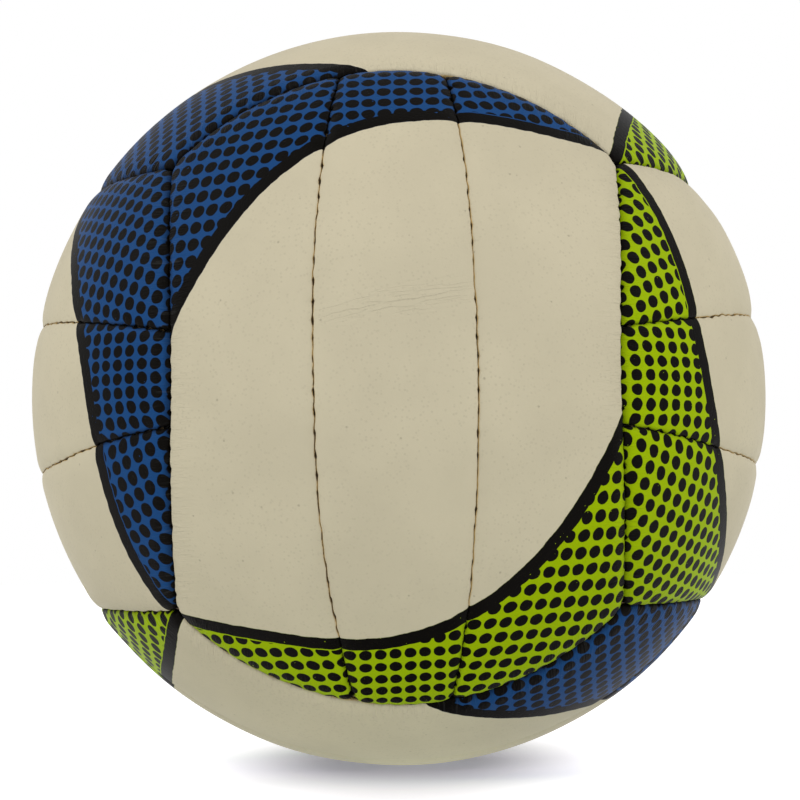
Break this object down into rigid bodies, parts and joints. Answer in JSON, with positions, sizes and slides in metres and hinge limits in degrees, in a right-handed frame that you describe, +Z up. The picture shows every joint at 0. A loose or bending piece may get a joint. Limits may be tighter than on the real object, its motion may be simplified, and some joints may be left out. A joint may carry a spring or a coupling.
{
  "type": "volleyball",
  "caption": "Round sewn volleyball with curved strip covers over cloth linings, seam threads, a hollow bladder and an inflation valve.",
  "frame": {"origin": "centre of the ball, the middle of its bounding box", "axes": "+Z up as pictured, -Y towards the picture's viewer, +Y out through the inflation valve, +X to the viewer's right"},
  "size_m": [0.21, 0.2097, 0.21],
  "materials": {
    "cover_leather": "semi-gloss foamed synthetic leather, cream with printed bands",
    "lining_cloth": "plain weave cotton and polyester backing",
    "sewing_thread": "waxed twisted thread",
    "bladder_rubber": "smooth matt",
    "valve_rubber": "moulded satin",
    "valve_core_rubber": "moulded satin",
    "valve_patch_cloth": "rubberised cloth"
  },
  "bodies": {
    "root": {"front_left_panel": "cover_leather", "front_middle_panel": "cover_leather", "front_right_panel": "cover_leather", "back_left_panel": "cover_leather", "back_middle_panel": "cover_leather", "back_right_panel": "cover_leather", "left_upper_panel": "cover_leather", "left_middle_panel": "cover_leather", "left_lower_panel": "cover_leather", "right_upper_panel": "cover_leather", "right_middle_panel": "cover_leather", "right_lower_panel": "cover_leather", "top_front_panel": "cover_leather", "top_middle_panel": "cover_leather", "top_back_panel": "cover_leather", "bottom_front_panel": "cover_leather", "bottom_middle_panel": "cover_leather", "bottom_back_panel": "cover_leather", "front_left_lining": "lining_cloth", "front_middle_lining": "lining_cloth", "front_right_lining": "lining_cloth", "back_left_lining": "lining_cloth", "back_middle_lining": "lining_cloth", "back_right_lining": "lining_cloth", "left_upper_lining": "lining_cloth", "left_middle_lining": "lining_cloth", "left_lower_lining": "lining_cloth", "right_upper_lining": "lining_cloth", "right_middle_lining": "lining_cloth", "right_lower_lining": "lining_cloth", "top_front_lining": "lining_cloth", "top_middle_lining": "lining_cloth", "top_back_lining": "lining_cloth", "bottom_front_lining": "lining_cloth", "bottom_middle_lining": "lining_cloth", "bottom_back_lining": "lining_cloth", "front_left_seam_thread": "sewing_thread", "front_right_seam_thread": "sewing_thread", "back_left_seam_thread": "sewing_thread", "back_right_seam_thread": "sewing_thread", "left_upper_seam_thread": "sewing_thread", "left_lower_seam_thread": "sewing_thread", "right_upper_seam_thread": "sewing_thread", "right_lower_seam_thread": "sewing_thread", "top_front_seam_thread": "sewing_thread", "top_back_seam_thread": "sewing_thread", "bottom_front_seam_thread": "sewing_thread", "bottom_back_seam_thread": "sewing_thread", "first_edge_seam_thread": "sewing_thread", "second_edge_seam_thread": "sewing_thread", "third_edge_seam_thread": "sewing_thread", "fourth_edge_seam_thread": "sewing_thread", "bladder": "bladder_rubber", "valve_sleeve": "valve_rubber", "valve_core": "valve_core_rubber", "valve_patch": "valve_patch_cloth"}
  },
  "joints": []
}
